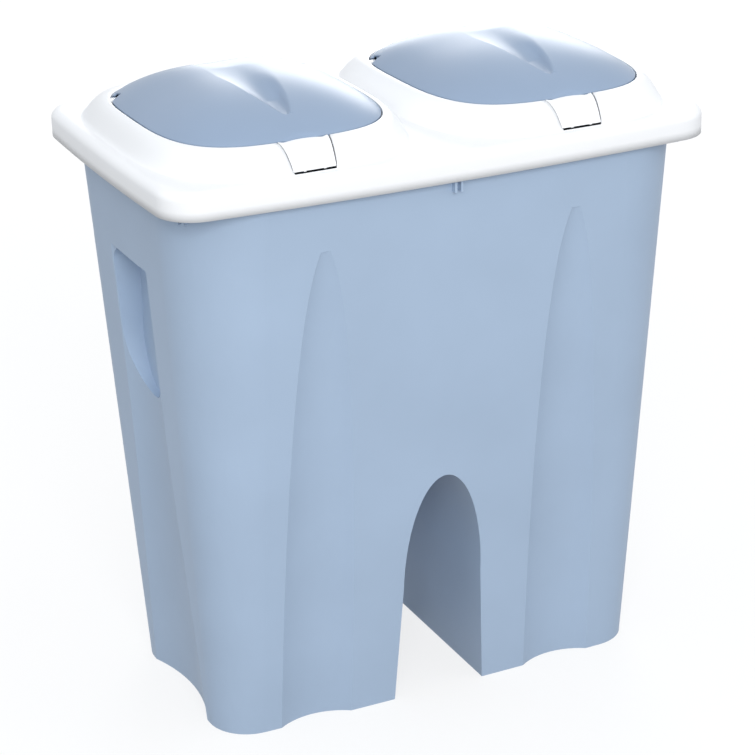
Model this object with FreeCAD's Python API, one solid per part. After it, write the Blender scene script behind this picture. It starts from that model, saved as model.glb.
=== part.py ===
import FreeCAD, Part
import math
import os

# Double recycling bin: a two-legged tub, a lift-off lid with two domes, and a
# pop-up flap with a press latch in each dome.  Millimetres, +Z up, front is -Y.
# The origin is on the floor under the middle of the tub.

# ---- tub ----
TUB_WALL = 2.4
TUB_FLOOR = 3.0
BASE_HALF_X = 218.5
BASE_HALF_Y = 114.2
BASE_CORNER = 40.0
BASE_BOW_X = 1.0
BASE_BOW_Y = 3.0
RIM_HALF_X = 248.5
RIM_HALF_Y = 161.8
RIM_CORNER = 75.0
RIM_BOW_X = 3.0
RIM_BOW_Y = 6.0

# ---- arch tunnel between the legs ----
ARCH_HALF_BASE = 46.5
ARCH_HALF_SPRING = 40.0
ARCH_SPRING_Z = 120.0
ARCH_TOP_Z = 231.5

# ---- flutes in the front and back faces ----
FLUTE_X_BASE = 128.0
FLUTE_X_TIP = 122.0
FLUTE_HALF_WIDTH = 37.0
FLUTE_TIP_Z = 481.0
FLUTE_FADE = 2.4
FLUTE_DEPTH = 12.0

# ---- flutes and hand grips in the two ends ----
SIDE_HALF_BASE = 67.0
SIDE_HALF_TOP = 45.0
SIDE_NARROW_Z = 250.0
SIDE_TAPER = 0.9
SIDE_DEPTH_BASE = 13.0
SIDE_DEPTH_TOP = 8.0
GRIP_TOP_Z = 442.0
GRIP_LOW_Z = 306.0
GRIP_HALF = 43.0
GRIP_DEPTH_TOP = 27.0
GRIP_DEPTH_LOW = 17.0
GRIP_BEND = 58.0
GRIP_CORNER = 16.0

# ---- flange and gussets under the tub's rim ----
FLANGE_Z = 526.0
FLANGE_THICK = 2.5
FLANGE_GAP = 1.0
GUSSET_THICK = 2.0
GUSSET_PITCH = 6.0
GUSSET_DROP = 16.0
GUSSET_ANGLE = 33.0
GUSSET_REACH = 10.0

# ---- divider between the compartments ----
DIVIDER_THICK = 2.5
DIVIDER_GAP = 0.3
DIVIDER_TOP_GAP = 1.0
RAIL_DEPTH = 8.0
RAIL_WIDTH = 2.2

# ---- lid skirt and rim ----
LID_WALL = 2.6
LID_HALF_X = 265.0
LID_HALF_Y = 170.8
LID_CORNER = 36.0
LID_BOW_X = 4.6
LID_BOW_Y = 9.6
LID_LOW_Z = 520.7
LID_RIM_Z = 545.0
LID_EDGE_ROUND = 8.0
LID_INNER_ROUND = 2.4
LID_LIFT_GAP = 0.3

BORDER_SLOPE_SHARE = 0.7

# ---- domes ----
DOME_X = 128.0
DOME_Y = 8.0
DOME_HALF_X = 122.0
DOME_FRONT = 164.0
DOME_BACK = 142.0
DOME_CORNER = 70.0
DOME_BOW_X = 5.0
DOME_BOW_Y = 8.0
FRONT_ROUNDER = 1.15
BORDER_RISE = 22.5
BORDER_CURVE = 1.6
BORDER_STEPS = 4

# ---- flaps ----
FLAP_HALF_X = 104.0
FLAP_FRONT = 137.0
FLAP_BACK = 94.0
FLAP_RISE = 29.5
FLAP_CURVE = 2.4
FLAP_CORNER = 58.0
CAP_POWER = 3.4
FLAP_WALL = 2.2
FLAP_LIP_WALL = 2.4
FLAP_LIP_DROP = 5.2
FLAP_GAP = 1.3
CHANNEL_DEPTH = 10.0
CHANNEL_DEPTH_BACK = 2.5
CHANNEL_HALF = 26.0
CHANNEL_TIP = 107.0
CHANNEL_RUN = 90.0
CHANNEL_OPENING = 3.0
CHANNEL_CURVE = 1.2

# ---- seat that the closed flap rests on ----
SEAT_WIDTH = 6.0
SEAT_THICK = 2.4
SEAT_GAP = 0.3
CURTAIN_WALL = 2.2
SEAT_END_Y = 48.0

# ---- flap hinge ----
HINGE_Y = 67.0
HINGE_Z = 563.0
PIN_RADIUS = 2.0
PIN_CLEARANCE = 0.06
PIN_IN_X = 68.0
PIN_OUT_X = 98.0
EAR_IN_X = 92.3
EAR_OUT_X = 103.0
EAR_HALF_Y = 4.5
EAR_DOWN = 5.5
EAR_UP = 4.4
NOTCH_IN_X = 91.3
NOTCH_HALF_Y = 7.6
LUG_IN_X = 84.0
LUG_OUT_X = 90.5
LUG_RADIUS = 5.5
SPRING_WIRE = 1.2
SPRING_CLEARANCE = 0.3
SPRING_LENGTH = 12.0

# ---- latch ----
BUTTON_HALF_TOP = 22.5
BUTTON_HALF_LOW = 18.0
BUTTON_GAP = 1.0
BUTTON_WALL = 2.6
PIVOT_Y = -134.5
PIVOT_Z = 559.0
PIVOT_RADIUS = 1.5
KNUCKLE_RADIUS = 3.2
KNUCKLE_IN_X = 10.0
KNUCKLE_OUT_X = 17.0
CHEEK_OUT_X = 26.5
CHEEK_WALL = 2.6
CHEEK_HALF_Y = 4.0
RAIL_IN_X = 8.0
RAIL_OUT_X = 10.5
RAIL_LOW_Z = 545.0
RAIL_TOP_Z = 547.6
CATCH_BAR_FRONT = -123.0
CATCH_BAR_BACK = -120.0
TONGUE_HALF_X = 6.5
TONGUE_FRONT = -127.5
TONGUE_WALL = 2.7
BARB_GAP = 0.3
BARB_HEIGHT = 3.0
CROSSBAR_Y = -134.2
CROSSBAR_THICK = 2.4
CROSSBAR_LOW_Z = 551.6
CROSSBAR_HEIGHT = 4.0
COIL_RADIUS = 1.8
COIL_BORE = 1.2
COIL_GAP = 2.0

# ---- smoothness of curved shapes, and reaches of tools past what they cut ----
FLUTE_STEPS = 7
FLUTE_LAST = 0.985
FLUTE_OUT = 20.0
SIDE_STEPS = 6
CAP_STEPS = 24
CAP_MARGIN = 1.05
OVER = 40.0

TUB_HEIGHT = LID_RIM_Z - LID_WALL - LID_LIFT_GAP
DOME_FRONT_Y = DOME_Y - DOME_FRONT
FLAP_FRONT_Y = DOME_Y - FLAP_FRONT
FLAP_EDGE_Z = LID_RIM_Z + BORDER_RISE


def vec(x, y, z):
    return FreeCAD.Vector(x, y, z)


def mirrored_x(shape):
    return shape.mirror(vec(0, 0, 0), vec(1, 0, 0))


def mirrored_y(shape):
    return shape.mirror(vec(0, 0, 0), vec(0, 1, 0))


def block(x_low, x_high, y_low, y_high, z_low, z_high):
    """Box between two corners."""
    return Part.makeBox(x_high - x_low, y_high - y_low, z_high - z_low, vec(x_low, y_low, z_low))


def rod_x(radius, x_low, x_high, y, z):
    """Round bar along X."""
    return Part.makeCylinder(radius, x_high - x_low, vec(x_low, y, z), vec(1, 0, 0))


def cut_all(shape, tools):
    """Shape less every tool."""
    for tool in tools:
        shape = shape.cut(tool)
    return shape


def fuse_all(shapes):
    """One solid out of overlapping ones."""
    result = shapes[0].multiFuse(shapes[1:])
    return result.removeSplitter()


# ---------------------------------------------------------------- outlines

def tangent_corner(half_x, half_y, corner, bow_x, bow_y):
    """Ends and middle of a corner arc that is tangent to both bowed sides, and the sides' radii."""
    radius_y = (half_x ** 2 + bow_y ** 2) / (2 * bow_y)
    radius_x = (half_y ** 2 + bow_x ** 2) / (2 * bow_x)
    centre_y = (0.0, half_y - radius_y)
    centre_x = (half_x - radius_x, 0.0)
    span = math.dist(centre_y, centre_x)
    step = ((centre_x[0] - centre_y[0]) / span, (centre_x[1] - centre_y[1]) / span)
    along = (span ** 2 + (radius_y - corner) ** 2 - (radius_x - corner) ** 2) / (2 * span)
    off = math.sqrt((radius_y - corner) ** 2 - along ** 2)
    foot = (centre_y[0] + step[0] * along, centre_y[1] + step[1] * along)
    round_at = max([(foot[0] - side * step[1] * off, foot[1] + side * step[0] * off) for side in (1, -1)], key=sum)
    start = point_beyond(centre_x, round_at, radius_x)
    end = point_beyond(centre_y, round_at, radius_y)
    halfway = ((start[0] + end[0]) / 2, (start[1] + end[1]) / 2)
    return start, point_beyond(round_at, halfway, corner), end


def point_beyond(centre, through, length):
    """Point at a length from centre, on the line to another point."""
    dx = through[0] - centre[0]
    dy = through[1] - centre[1]
    scale = length / math.hypot(dx, dy)
    return (centre[0] + dx * scale, centre[1] + dy * scale)


def arcs_to_wire(arcs, centre, z):
    """Closed wire of three-point arcs, moved to a centre and a height."""
    edges = []
    for arc in arcs:
        points = [vec(centre[0] + x, centre[1] + y, z) for x, y in arc]
        edges.append(Part.Arc(*points).toShape())
    return Part.Wire(edges)


def bowed_outline(half_x, half_y, corner, bow_x, bow_y, z):
    """Rounded rectangle with bowed sides, every arc tangent to the next."""
    start, middle, end = tangent_corner(half_x, half_y, corner, bow_x, bow_y)
    half_loop = [((start[0], -start[1]), (half_x, 0), start),
                 (start, middle, end),
                 (end, (0, half_y), (-end[0], end[1])),
                 ((-end[0], end[1]), (-middle[0], middle[1]), (-start[0], start[1]))]
    other_half = [tuple((-x, -y) for x, y in arc) for arc in half_loop]
    return arcs_to_wire(half_loop + other_half, (0, 0), z)


def dome_outline(half_x, front, back, corner, z):
    """A dome's plan shape: like the bowed rectangle, but longer in front of its widest line."""
    f_start, f_middle, f_end = tangent_corner(half_x, front, corner * FRONT_ROUNDER, DOME_BOW_X, DOME_BOW_Y)
    b_start, b_middle, b_end = tangent_corner(half_x, back, corner, DOME_BOW_X, DOME_BOW_Y)
    f_side = side_middle(half_x, front, f_start)
    b_side = side_middle(half_x, back, b_start)
    right = [((half_x, 0), b_side, b_start), (b_start, b_middle, b_end)]
    left = [((-b_end[0], b_end[1]), (-b_middle[0], b_middle[1]), (-b_start[0], b_start[1])),
            ((-b_start[0], b_start[1]), (-b_side[0], b_side[1]), (-half_x, 0)),
            ((-half_x, 0), (-f_side[0], -f_side[1]), (-f_start[0], -f_start[1])),
            ((-f_start[0], -f_start[1]), (-f_middle[0], -f_middle[1]), (-f_end[0], -f_end[1]))]
    ahead = [((-f_end[0], -f_end[1]), (0, -front), (f_end[0], -f_end[1])),
             ((f_end[0], -f_end[1]), (f_middle[0], -f_middle[1]), (f_start[0], -f_start[1])),
             ((f_start[0], -f_start[1]), (f_side[0], -f_side[1]), (half_x, 0))]
    behind = [(b_end, (0, back), (-b_end[0], b_end[1]))]
    return arcs_to_wire(right + behind + left + ahead, (0, DOME_Y), z)


def side_middle(half_x, half_y, start):
    """Point half way round a side's arc, from the widest line to the corner."""
    radius = (half_y ** 2 + DOME_BOW_X ** 2) / (2 * DOME_BOW_X)
    angle = math.asin(start[1] / radius) / 2
    return (half_x - radius + radius * math.cos(angle), radius * math.sin(angle))


def upright(wire, height):
    """Solid with straight walls over a closed flat wire."""
    return Part.Face(wire).extrude(vec(0, 0, height))


def flap_column(grow, z_low, z_high):
    """Upright block over the flap's outline, grown by a margin."""
    wire = dome_outline(FLAP_HALF_X + grow, FLAP_FRONT + grow, FLAP_BACK + grow, FLAP_CORNER + grow, z_low)
    return upright(wire, z_high - z_low)


# ---------------------------------------------------------------- tub

def at_height(base, rim, z):
    """A tub size at a height, between its values at the floor and at the lid's lower edge."""
    return base + (rim - base) * z / LID_LOW_Z


def tub_outline(inset, z):
    """The tub's section at a height, moved inwards by a wall."""
    return bowed_outline(at_height(BASE_HALF_X, RIM_HALF_X, z) - inset,
                         at_height(BASE_HALF_Y, RIM_HALF_Y, z) - inset,
                         at_height(BASE_CORNER, RIM_CORNER, z) - inset,
                         at_height(BASE_BOW_X, RIM_BOW_X, z),
                         at_height(BASE_BOW_Y, RIM_BOW_Y, z), z)


def tub_body(inset, z_low, z_high):
    """Solid tapered body of the tub."""
    return Part.makeLoft([tub_outline(inset, z_low), tub_outline(inset, z_high)], True, True)


def front_face_y(z):
    return -at_height(BASE_HALF_Y, RIM_HALF_Y, z)


def end_face_x(z):
    return -at_height(BASE_HALF_X, RIM_HALF_X, z)


def arch_tool(grow, y_reach):
    """The tunnel's block: tapered legs under a half ellipse."""
    rise = ARCH_TOP_Z - ARCH_SPRING_Z
    half_base = ARCH_HALF_BASE + grow
    half_spring = ARCH_HALF_SPRING + grow
    corners = [vec(-half_spring, -y_reach, ARCH_SPRING_Z), vec(-half_base, -y_reach, 0),
               vec(-half_base, -y_reach, -OVER), vec(half_base, -y_reach, -OVER),
               vec(half_base, -y_reach, 0), vec(half_spring, -y_reach, ARCH_SPRING_Z)]
    edges = [Part.LineSegment(a, b).toShape() for a, b in zip(corners[:-1], corners[1:])]
    centre = vec(0, -y_reach, ARCH_SPRING_Z)
    crown = Part.Ellipse(centre + vec(0, 0, rise + grow), centre + vec(half_spring, 0, 0), centre)
    right = crown.parameter(corners[-1])
    left = crown.parameter(corners[0])
    top = Part.Arc(crown, min(left, right), max(left, right)).toShape()
    if top.valueAt((top.FirstParameter + top.LastParameter) / 2).z < ARCH_SPRING_Z:
        top = Part.Arc(crown, max(left, right), min(left, right) + 2 * math.pi).toShape()
    outline = Part.Wire(Part.__sortEdges__(edges + [top]))
    return Part.Face(outline).extrude(vec(0, 2 * y_reach, 0))


def scoop_section(half, depth, out):
    """Points of a flute's section: out of the face, and an arc of a given depth into it."""
    return [(-half, 0.0), (0.0, depth), (half, 0.0), (half, -out), (-half, -out)]


def flute_wire(place, half, depth, out):
    """Closed section of a flute: place() sets a point (across, inwards) in space."""
    left, deep, right, right_out, left_out = [place(*p) for p in scoop_section(half, depth, out)]
    arc = Part.Arc(left, deep, right).toShape()
    lines = [Part.LineSegment(a, b).toShape() for a, b in ((right, right_out), (right_out, left_out), (left_out, left))]
    return Part.Wire([arc] + lines)


def front_flute(grow):
    """Flute in the right half of the front face."""
    sections = []
    for step in range(FLUTE_STEPS + 1):
        share = FLUTE_LAST * step / FLUTE_STEPS
        z = (FLUTE_TIP_Z + 2 * grow) * share
        fade = math.sqrt(1 - share ** FLUTE_FADE)
        centre_x = FLUTE_X_BASE + (FLUTE_X_TIP - FLUTE_X_BASE) * share
        face_y = front_face_y(z)

        def place(across, inward, x=centre_x, y=face_y, height=z):
            return vec(x + across, y + inward, height)

        sections.append(flute_wire(place, FLUTE_HALF_WIDTH * fade + grow, FLUTE_DEPTH * fade + grow, FLUTE_OUT))
    return Part.makeLoft(sections, True, False)


def side_flute(grow):
    """Flute in the left end, under the hand grip."""
    sections = []
    for step in range(SIDE_STEPS + 1):
        z = (GRIP_TOP_Z + grow) * step / SIDE_STEPS
        narrowing = max(0.0, 1 - z / SIDE_NARROW_Z) ** SIDE_TAPER
        half = SIDE_HALF_TOP + (SIDE_HALF_BASE - SIDE_HALF_TOP) * narrowing
        depth = SIDE_DEPTH_BASE + (SIDE_DEPTH_TOP - SIDE_DEPTH_BASE) * z / GRIP_TOP_Z
        sections.append(end_section(z, half + grow, depth + grow))
    return Part.makeLoft(sections, True, False)


def end_section(z, half, depth):
    """Closed section of a scoop in the left end at a height."""
    face_x = end_face_x(z)

    def place(across, inward):
        return vec(face_x + inward, across, z)

    return flute_wire(place, half, depth, FLUTE_OUT)


def hand_grip(grow):
    """Deeper pocket at the top of the end flute: round below, flat ledge above."""
    half = GRIP_HALF + grow
    corner = GRIP_CORNER + grow
    top = GRIP_TOP_Z + grow
    bend_z = GRIP_LOW_Z + GRIP_BEND
    diagonal = corner * math.sqrt(0.5)
    out_x = -RIM_HALF_X - OVER

    def at(y, z):
        return vec(out_x, y, z)

    bottom = Part.Ellipse(at(0, bend_z - GRIP_BEND - grow), at(half, bend_z), at(0, bend_z))
    if GRIP_BEND < GRIP_HALF:
        bottom = Part.Ellipse(at(half, bend_z), at(0, bend_z - GRIP_BEND - grow), at(0, bend_z))
    start, end = sorted((bottom.parameter(at(-half, bend_z)), bottom.parameter(at(half, bend_z))))
    bowl = Part.Arc(bottom, start, end).toShape()
    if bowl.valueAt((bowl.FirstParameter + bowl.LastParameter) / 2).z > bend_z:
        bowl = Part.Arc(bottom, end, start + 2 * math.pi).toShape()
    edges = [bowl, Part.LineSegment(at(half, bend_z), at(half, top - corner)).toShape(),
             Part.LineSegment(at(half - corner, top), at(corner - half, top)).toShape(),
             Part.LineSegment(at(-half, top - corner), at(-half, bend_z)).toShape()]
    for side in (1, -1):
        bend = Part.Arc(at(side * half, top - corner),
                        at(side * (half - corner + diagonal), top - corner + diagonal),
                        at(side * (half - corner), top))
        edges.append(bend.toShape())
    outline = Part.Wire(Part.__sortEdges__(edges))
    floor_low = end_face_x(GRIP_LOW_Z) + GRIP_DEPTH_LOW + grow
    floor_top = end_face_x(GRIP_TOP_Z) + GRIP_DEPTH_TOP + grow
    lean = (floor_top - floor_low) / (GRIP_TOP_Z - GRIP_LOW_Z)
    low_x = floor_low - lean * OVER
    high_x = floor_top + lean * OVER
    side_view = [(out_x, GRIP_LOW_Z - OVER), (low_x, GRIP_LOW_Z - OVER),
                 (high_x, GRIP_TOP_Z + OVER), (out_x, GRIP_TOP_Z + OVER)]
    wedge = Part.makePolygon([vec(x, -RIM_HALF_Y, z) for x, z in side_view + side_view[:1]])
    reach = Part.Face(wedge).extrude(vec(0, 2 * RIM_HALF_Y, 0))
    return Part.Face(outline).extrude(vec(2 * OVER + RIM_HALF_X, 0, 0)).common(reach)


def tub_hollows(grow):
    """Everything pressed into the tub from outside, grown by a wall."""
    flute = front_flute(grow)
    flutes = [flute, mirrored_x(flute)]
    flutes += [mirrored_y(one) for one in flutes]
    ends = [side_flute(grow), hand_grip(grow)]
    ends += [mirrored_x(one) for one in ends]
    return flutes + ends + [arch_tool(grow, RIM_HALF_Y + OVER)]


def lid_outline(inset, z):
    """The lid's plan shape, moved inwards."""
    return bowed_outline(LID_HALF_X - inset, LID_HALF_Y - inset, LID_CORNER - inset, LID_BOW_X, LID_BOW_Y, z)


def divider_rails(core):
    """Ribs inside the front and back walls that hold the divider."""
    slot = DIVIDER_THICK / 2 + DIVIDER_GAP
    low = ARCH_TOP_Z + TUB_WALL / 2
    ring = core.cut(tub_body(TUB_WALL + RAIL_DEPTH, 0, TUB_HEIGHT))
    rails = []
    for side in (1, -1):
        x_near, x_far = sorted((side * slot, side * (slot + RAIL_WIDTH)))
        rails.append(ring.common(block(x_near, x_far, -RIM_HALF_Y, RIM_HALF_Y, low, TUB_HEIGHT - DIVIDER_TOP_GAP)))
    return rails


def rim_flange():
    """Flange that carries the lid's skirt, and the gussets under it."""
    reach = LID_WALL + FLANGE_GAP
    top = FLANGE_Z + FLANGE_THICK
    low_z = FLANGE_Z - GUSSET_DROP
    plate = upright(lid_outline(reach, FLANGE_Z), FLANGE_THICK)
    limits = tub_body(-GUSSET_REACH, low_z, top).common(upright(lid_outline(reach, low_z), top - low_z))
    corner_x = RIM_HALF_X - RIM_CORNER
    corner_y = RIM_HALF_Y - RIM_CORNER
    pieces = [plate]
    for offset in (-GUSSET_PITCH / 2, GUSSET_PITCH / 2):
        low = offset - GUSSET_THICK / 2
        high = offset + GUSSET_THICK / 2
        pieces.append(block(low, high, -LID_HALF_Y, LID_HALF_Y, low_z, top).common(limits))
        arm = block(0, RIM_HALF_X, low, high, low_z, top)
        arm.rotate(vec(0, 0, 0), vec(0, 0, 1), GUSSET_ANGLE)
        arm.translate(vec(corner_x, corner_y, 0))
        arm = arm.common(limits)
        pieces += [arm, mirrored_x(arm), mirrored_y(arm), mirrored_x(mirrored_y(arm))]
    inside = tub_body(TUB_WALL / 2, 0, TUB_HEIGHT)
    return [piece.cut(inside) for piece in pieces]


def make_tub():
    shell = cut_all(tub_body(0, 0, TUB_HEIGHT), tub_hollows(0))
    cavity = cut_all(tub_body(TUB_WALL, TUB_FLOOR, TUB_HEIGHT + TUB_WALL), tub_hollows(TUB_WALL))
    shell = shell.cut(cavity)
    rails = divider_rails(tub_body(TUB_WALL / 2, 0, TUB_HEIGHT))
    return fuse_all([shell] + rim_flange() + rails)


def make_divider():
    """Panel between the compartments, standing on the arch."""
    half = DIVIDER_THICK / 2
    low = ARCH_TOP_Z + TUB_WALL + DIVIDER_GAP
    panel = block(-half, half, -RIM_HALF_Y, RIM_HALF_Y, low, TUB_HEIGHT - DIVIDER_TOP_GAP)
    return panel.common(tub_body(TUB_WALL + DIVIDER_GAP, 0, TUB_HEIGHT))


# ---------------------------------------------------------------- lid
# A dome and all it holds is made about X = 0, then moved to its place.

def border_height(share):
    """Height of the dome's white border, from its foot (0) to the flap's edge (1)."""
    return LID_RIM_Z + BORDER_RISE * (1 - (1 - share) ** BORDER_CURVE)


def dome_form(inset, drop, z_foot):
    """Solid dome under the white border, closed flat at the flap's edge."""
    heights = [z_foot] + [border_height(step / BORDER_STEPS) - drop for step in range(BORDER_STEPS + 1)]
    sections = []
    for step, z in enumerate(heights):
        share = max(0, step - 1) / BORDER_STEPS
        sections.append(dome_outline(DOME_HALF_X + (FLAP_HALF_X - DOME_HALF_X) * share - inset,
                                     DOME_FRONT + (FLAP_FRONT - DOME_FRONT) * share - inset,
                                     DOME_BACK + (FLAP_BACK - DOME_BACK) * share - inset,
                                     DOME_CORNER + (FLAP_CORNER - DOME_CORNER) * share - inset, z))
    return Part.makeLoft(sections, True, True)


def flap_seat(outer):
    """Step round the opening: a short curtain and the ledge that the closed flap rests on."""
    seat_z = FLAP_EDGE_Z - FLAP_LIP_DROP - SEAT_GAP
    ring = flap_column(FLAP_GAP + CURTAIN_WALL, seat_z - SEAT_THICK, FLAP_EDGE_Z).common(outer)
    ring = ring.cut(flap_column(-SEAT_WIDTH, seat_z - OVER, seat_z + OVER))
    swing = flap_column(FLAP_GAP, seat_z - OVER, seat_z)
    return ring.cut(swing.common(block(-LID_HALF_X, LID_HALF_X, SEAT_END_Y, LID_HALF_Y, seat_z - OVER, seat_z)))


def hinge_ears():
    """Ears of the lid that stand in the flap's notches and hold the pins."""
    return [block(*span, HINGE_Y - EAR_HALF_Y, HINGE_Y + EAR_HALF_Y, HINGE_Z - EAR_DOWN, HINGE_Z + EAR_UP)
            for span in both_sides(EAR_IN_X, EAR_OUT_X)]


def both_sides(near, far):
    """The same stretch of X on the left and on the right."""
    return [(-far, -near), (near, far)]


def hinge_pins():
    return [rod_x(PIN_RADIUS, *span, HINGE_Y, HINGE_Z) for span in both_sides(PIN_IN_X, PIN_OUT_X)]


def flap_springs():
    """Plain sleeves in place of the two coils that lift the flap, one round each pin."""
    bore = PIN_RADIUS + SPRING_CLEARANCE
    sleeves = []
    for span in both_sides(LUG_IN_X - SPRING_CLEARANCE - SPRING_LENGTH, LUG_IN_X - SPRING_CLEARANCE):
        sleeve = rod_x(bore + SPRING_WIRE, *span, HINGE_Y, HINGE_Z)
        sleeves.append(sleeve.cut(rod_x(bore, *span, HINGE_Y, HINGE_Z)))
    return sleeves


def latch_wedge(gap, z_low):
    """Upright block over the button: wider at the top, drawn in all round by a gap."""
    low_y = DOME_FRONT_Y + gap
    high_y = FLAP_FRONT_Y - gap
    corners = [(-BUTTON_HALF_LOW + gap, low_y), (BUTTON_HALF_LOW - gap, low_y),
               (BUTTON_HALF_TOP - gap, high_y), (-BUTTON_HALF_TOP + gap, high_y)]
    wire = Part.makePolygon([vec(x, y, z_low) for x, y in corners + corners[:1]])
    return upright(wire, OVER * 2)


def latch_room():
    """Space behind the button that the lid keeps clear, under the border and through the seat."""
    half = CHEEK_OUT_X - CHEEK_WALL
    return block(-half, half, PIVOT_Y - KNUCKLE_RADIUS - BUTTON_GAP, FLAP_FRONT_Y + SEAT_WIDTH + BUTTON_GAP,
                 LID_RIM_Z - OVER, FLAP_EDGE_Z - BUTTON_WALL)


def latch_cheeks(outer):
    """Cheeks beside the button that hold its pin, and the bar that its spring pushes on."""
    cheeks = [block(*span, PIVOT_Y - CHEEK_HALF_Y, PIVOT_Y + CHEEK_HALF_Y, CROSSBAR_LOW_Z, FLAP_EDGE_Z).common(outer)
              for span in both_sides(CHEEK_OUT_X - CHEEK_WALL, CHEEK_OUT_X)]
    cheeks.append(block(-CHEEK_OUT_X, CHEEK_OUT_X, CROSSBAR_Y - CROSSBAR_THICK / 2, CROSSBAR_Y + CROSSBAR_THICK / 2,
                        CROSSBAR_LOW_Z, CROSSBAR_LOW_Z + CROSSBAR_HEIGHT))
    return cheeks


def lid_dome():
    """One dome of the lid with its opening, seat, hinge ears and latch cheeks."""
    slope = LID_WALL * BORDER_SLOPE_SHARE
    outer = dome_form(0, 0, LID_RIM_Z - LID_WALL)
    shell = outer.cut(dome_form(slope, slope, LID_RIM_Z - LID_WALL - slope - OVER))
    shell = shell.cut(flap_column(FLAP_GAP, LID_RIM_Z - OVER, FLAP_EDGE_Z + OVER))
    shell = shell.fuse(flap_seat(outer))
    seat_z = FLAP_EDGE_Z - FLAP_LIP_DROP - SEAT_GAP
    shell = shell.cut(flap_column(FLAP_GAP, seat_z, FLAP_EDGE_Z + OVER))
    shell = shell.cut(latch_wedge(0, LID_RIM_Z - OVER)).cut(latch_room())
    shell = shell.multiFuse(hinge_ears() + latch_cheeks(outer))
    return cut_all(shell, hinge_pins() + [button_pin()])


def lid_rim():
    """Skirt and flat rim, open under each dome."""
    outer = upright(lid_outline(0, LID_LOW_Z), LID_RIM_Z - LID_LOW_Z)
    outer = outer.makeFillet(LID_EDGE_ROUND, edges_at(outer, LID_RIM_Z))
    inner = upright(lid_outline(LID_WALL, LID_LOW_Z - OVER), LID_RIM_Z - LID_WALL - LID_LOW_Z + OVER)
    inner = inner.makeFillet(LID_INNER_ROUND, edges_at(inner, LID_RIM_Z - LID_WALL))
    rim = outer.cut(inner)
    slope = LID_WALL * BORDER_SLOPE_SHARE
    hole = upright(dome_outline(DOME_HALF_X - slope, DOME_FRONT - slope, DOME_BACK - slope, DOME_CORNER - slope,
                                LID_RIM_Z - OVER), OVER * 2)
    tools = [hole, latch_wedge(0, LID_RIM_Z - OVER)]
    return cut_all(rim, [moved_x(tool, place) for place in (-DOME_X, DOME_X) for tool in tools])


def edges_at(shape, z):
    """Edges that lie flat at a height."""
    return [edge for edge in shape.Edges if abs(edge.CenterOfMass.z - z) < 0.01 and edge.BoundBox.ZLength < 0.01]


def moved_x(shape, distance):
    copy = shape.copy()
    copy.translate(vec(distance, 0, 0))
    return copy


def make_lid(dome):
    return fuse_all([lid_rim(), moved_x(dome, -DOME_X), moved_x(dome, DOME_X)])


# ---------------------------------------------------------------- flaps

def cap_height(across, along):
    """Height of the flap's skin above its edge, at a place measured from the dome's widest line."""
    length = FLAP_FRONT if along < 0 else FLAP_BACK
    reach = ((abs(across) / FLAP_HALF_X) ** CAP_POWER + (abs(along) / length) ** CAP_POWER) ** (1 / CAP_POWER)
    return FLAP_RISE * (1 - reach ** FLAP_CURVE) - channel_depth(across, along)


def channel_depth(across, along):
    """Depth of the channel that runs back from a pointed tip behind the latch and gets shallower."""
    run = (along + CHANNEL_TIP) / CHANNEL_RUN
    if run <= 0:
        return 0.0
    offset = min(1.0, abs(across) / (CHANNEL_HALF * math.sqrt(min(1.0, run))))
    back_share = min(1.0, (along + CHANNEL_TIP) / (FLAP_BACK + CHANNEL_TIP))
    deepest = CHANNEL_DEPTH + (CHANNEL_DEPTH_BACK - CHANNEL_DEPTH) * back_share
    return deepest * math.sqrt(min(1.0, run * CHANNEL_OPENING)) * (1 - offset ** 2) ** CHANNEL_CURVE


def under_cap(drop):
    """Solid below the flap's skin, lowered by a wall."""
    across = [FLAP_HALF_X * CAP_MARGIN * (2 * step / CAP_STEPS - 1) for step in range(CAP_STEPS + 1)]
    front = -FLAP_FRONT * CAP_MARGIN
    back = FLAP_BACK * CAP_MARGIN
    along = [front + (back - front) * step / CAP_STEPS for step in range(CAP_STEPS + 1)]
    rows = [[vec(x, DOME_Y + y, FLAP_EDGE_Z + cap_height(x, y) - drop) for y in along] for x in across]
    skin = Part.BSplineSurface()
    skin.interpolate(rows)
    return skin.toShape().extrude(vec(0, 0, -OVER * 2))


def make_flap():
    """Domed skin with a lip all round, lugs on the hinge line and the catch tongue."""
    lip_z = FLAP_EDGE_Z - FLAP_LIP_DROP
    skin = under_cap(0)
    outer = skin.common(flap_column(0, lip_z, lip_z + OVER * 2))
    inner = under_cap(FLAP_WALL).common(flap_column(-FLAP_LIP_WALL, lip_z - OVER, lip_z + OVER * 2))
    lugs = []
    for x_low, x_high in both_sides(LUG_IN_X, LUG_OUT_X):
        web = block(x_low, x_high, HINGE_Y - LUG_RADIUS, HINGE_Y + LUG_RADIUS, HINGE_Z, FLAP_EDGE_Z + OVER)
        lugs += [rod_x(LUG_RADIUS, x_low, x_high, HINGE_Y, HINGE_Z), web.common(outer)]
    notches = [block(*span, HINGE_Y - NOTCH_HALF_Y, HINGE_Y + NOTCH_HALF_Y, HINGE_Z - OVER, HINGE_Z + OVER)
               for span in both_sides(NOTCH_IN_X, DOME_HALF_X)]
    flap = outer.cut(inner).multiFuse(lugs + catch_tongue())
    bore = rod_x(PIN_RADIUS + PIN_CLEARANCE, -LUG_OUT_X - OVER, LUG_OUT_X + OVER, HINGE_Y, HINGE_Z)
    return cut_all(flap, notches + [bore])


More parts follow.
